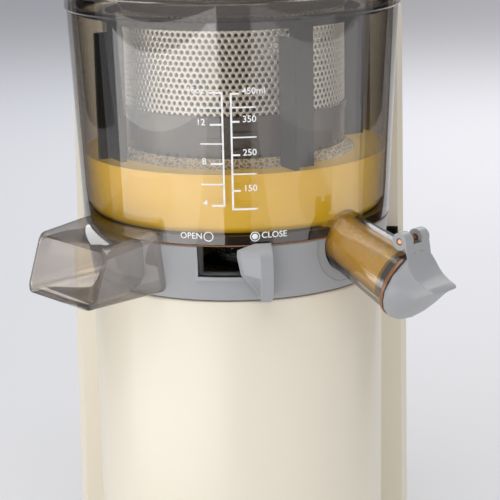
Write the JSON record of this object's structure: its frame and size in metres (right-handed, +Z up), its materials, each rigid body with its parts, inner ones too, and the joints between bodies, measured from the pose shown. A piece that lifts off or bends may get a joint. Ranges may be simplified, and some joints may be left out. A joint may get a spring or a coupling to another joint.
{
  "type": "juicer",
  "caption": "Vertical slow juicer: tinted clear bowl with strainer, auger and wiper frame, lever-shut pulp spout and capped juice spout, on a motor body with a rear column.",
  "frame": {"origin": "centre of the bounding box's bottom face, on the surface that the feet stand on", "axes": "+Z up, front with the spouts and the pulp lever towards -Y, +X to the right seen from the front"},
  "size_m": [0.1944, 0.2336, 0.404],
  "materials": {
    "cream_plastic": "moulded ABS, satin gloss",
    "grey_plastic": "moulded ABS, fine satin",
    "smoke_plastic": "clear polycarbonate with a smoke tint",
    "amber_plastic": "translucent amber-brown moulding",
    "dark_plastic": "black moulded plastic",
    "silicone": "black silicone",
    "steel": "stainless steel",
    "laminated_iron": "stacked steel laminations",
    "copper": "enamelled copper wire",
    "white_nylon": "natural nylon",
    "circuit_board": "soldered board"
  },
  "bodies": {
    "base": {"rear_housing": "cream_plastic", "front_housing": "cream_plastic", "bottom_cover": "dark_plastic", "cover_screw_1": "steel", "cover_screw_2": "steel", "cover_screw_3": "steel", "foot_1": "silicone", "foot_2": "silicone", "foot_3": "silicone", "foot_4": "silicone", "switch_bezel": "grey_plastic", "cable_gland": "silicone", "control_board": "circuit_board", "safety_switch": "dark_plastic", "motor_cup": "steel", "motor_stator": "laminated_iron", "stator_winding": "copper", "gearbox_ring": "grey_plastic", "gearbox_base": "steel", "gearbox_cover": "steel", "gearbox_mount": "dark_plastic", "shaft_seal": "silicone"},
    "rotor": {"rotor_core": "laminated_iron", "rotor_shaft": "steel", "cooling_fan": "dark_plastic"},
    "carrier_1": {"carrier_1": "steel"},
    "output_shaft": {"output_shaft": "steel"},
    "planet_1a": {"planet_1a": "white_nylon"},
    "planet_1b": {"planet_1b": "white_nylon"},
    "planet_1c": {"planet_1c": "white_nylon"},
    "planet_2a": {"planet_2a": "white_nylon"},
    "planet_2b": {"planet_2b": "white_nylon"},
    "planet_2c": {"planet_2c": "white_nylon"},
    "switch_rocker": {"switch_rocker": "dark_plastic"},
    "bowl": {"bowl_shell": "smoke_plastic", "base_ring": "grey_plastic", "pulp_spout": "smoke_plastic", "juice_spout": "smoke_plastic", "hinge_pin": "steel", "drive_seal": "silicone", "strainer_frame": "amber_plastic", "strainer_screen": "steel"},
    "juice_cap": {"juice_cap": "grey_plastic", "cap_plug": "silicone"},
    "pulp_lever": {"pulp_lever": "grey_plastic", "gate_seal": "silicone"},
    "auger": {"auger": "dark_plastic"},
    "idler_1": {"idler_1": "white_nylon"},
    "idler_2": {"idler_2": "white_nylon"},
    "wiper": {"wiper_frame": "dark_plastic", "wiper_blade_1": "silicone", "wiper_blade_2": "silicone", "wiper_blade_3": "silicone", "wiper_blade_4": "silicone"},
    "lid": {"lid": "smoke_plastic", "lid_gasket": "silicone", "hopper": "smoke_plastic"},
    "pusher": {"pusher": "dark_plastic", "pusher_cap": "grey_plastic"}
  },
  "joints": [
    {"name": "drive_spin", "type": "hinge", "parent": "base", "child": "output_shaft", "pos_m": [-0.00136, -0.01977, 0.1335], "axis": [0, 0, 1], "continuous": true},
    {"name": "carrier_1_spin", "type": "hinge", "parent": "base", "child": "carrier_1", "pos_m": [-0.00136, -0.01977, 0.1215], "axis": [0, 0, 1], "continuous": true},
    {"name": "rotor_spin", "type": "hinge", "parent": "base", "child": "rotor", "pos_m": [-0.00136, -0.01977, 0.113], "axis": [0, 0, 1], "continuous": true},
    {"name": "planet_1a_spin", "type": "hinge", "parent": "carrier_1", "child": "planet_1a", "pos_m": [-0.00136, -0.00177, 0.113], "axis": [0, 0, 1], "continuous": true},
    {"name": "planet_1b_spin", "type": "hinge", "parent": "carrier_1", "child": "planet_1b", "pos_m": [-0.01695, -0.02877, 0.113], "axis": [0, 0, 1], "continuous": true},
    {"name": "planet_1c_spin", "type": "hinge", "parent": "carrier_1", "child": "planet_1c", "pos_m": [0.01422, -0.02877, 0.113], "axis": [0, 0, 1], "continuous": true},
    {"name": "planet_2a_spin", "type": "hinge", "parent": "output_shaft", "child": "planet_2a", "pos_m": [-0.00136, -0.00177, 0.125], "axis": [0, 0, 1], "continuous": true},
    {"name": "planet_2b_spin", "type": "hinge", "parent": "output_shaft", "child": "planet_2b", "pos_m": [-0.01695, -0.02877, 0.125], "axis": [0, 0, 1], "continuous": true},
    {"name": "planet_2c_spin", "type": "hinge", "parent": "output_shaft", "child": "planet_2c", "pos_m": [0.01422, -0.02877, 0.125], "axis": [0, 0, 1], "continuous": true},
    {"name": "auger_spin", "type": "hinge", "parent": "bowl", "child": "auger", "pos_m": [-0.00136, -0.01977, 0.2145], "axis": [0, 0, 1], "continuous": true},
    {"name": "idler_1_spin", "type": "hinge", "parent": "bowl", "child": "idler_1", "pos_m": [0.02479, -0.04734, 0.2145], "axis": [0, 0, 1], "continuous": true},
    {"name": "idler_2_spin", "type": "hinge", "parent": "bowl", "child": "idler_2", "pos_m": [-0.02752, 0.00779, 0.2145], "axis": [0, 0, 1], "continuous": true},
    {"name": "wiper_spin", "type": "hinge", "parent": "bowl", "child": "wiper", "pos_m": [-0.00136, -0.01977, 0.2145], "axis": [0, 0, 1], "continuous": true},
    {"name": "bowl_lift", "type": "slide", "parent": "base", "child": "bowl", "axis": [0, 0, 1], "range_m": [0, 0.06]},
    {"name": "lid_lift", "type": "slide", "parent": "bowl", "child": "lid", "axis": [0, 0, 1], "range_m": [0, 0.04]},
    {"name": "pusher_slide", "type": "slide", "parent": "lid", "child": "pusher", "axis": [0, 0, 1], "range_m": [0, 0.06]},
    {"name": "juice_cap_hinge", "type": "hinge", "parent": "bowl", "child": "juice_cap", "pos_m": [0.07793, -0.09769, 0.21204], "axis": [-0.7009, -0.7133, 0], "range_deg": [0, 105]},
    {"name": "pulp_lever_turn", "type": "hinge", "parent": "bowl", "child": "pulp_lever", "pos_m": [-0.00136, -0.01977, 0.1995], "axis": [0, 0, -1], "range_deg": [0, 20]},
    {"name": "switch_rock", "type": "hinge", "parent": "base", "child": "switch_rocker", "pos_m": [0.08324, 0.05223, 0.096], "axis": [0, 1, 0], "range_deg": [-9, 9]}
  ],
  "couplings": [
    {"joint": "carrier_1_spin", "follows": "drive_spin", "ratio": 6},
    {"joint": "rotor_spin", "follows": "drive_spin", "ratio": 36},
    {"joint": "planet_1a_spin", "follows": "drive_spin", "ratio": -15},
    {"joint": "planet_1b_spin", "follows": "drive_spin", "ratio": -15},
    {"joint": "planet_1c_spin", "follows": "drive_spin", "ratio": -15},
    {"joint": "planet_2a_spin", "follows": "drive_spin", "ratio": -2.5},
    {"joint": "planet_2b_spin", "follows": "drive_spin", "ratio": -2.5},
    {"joint": "planet_2c_spin", "follows": "drive_spin", "ratio": -2.5},
    {"joint": "auger_spin", "follows": "drive_spin", "ratio": 1},
    {"joint": "idler_1_spin", "follows": "drive_spin", "ratio": -0.9},
    {"joint": "idler_2_spin", "follows": "drive_spin", "ratio": -0.9},
    {"joint": "wiper_spin", "follows": "drive_spin", "ratio": -0.31034}
  ]
}
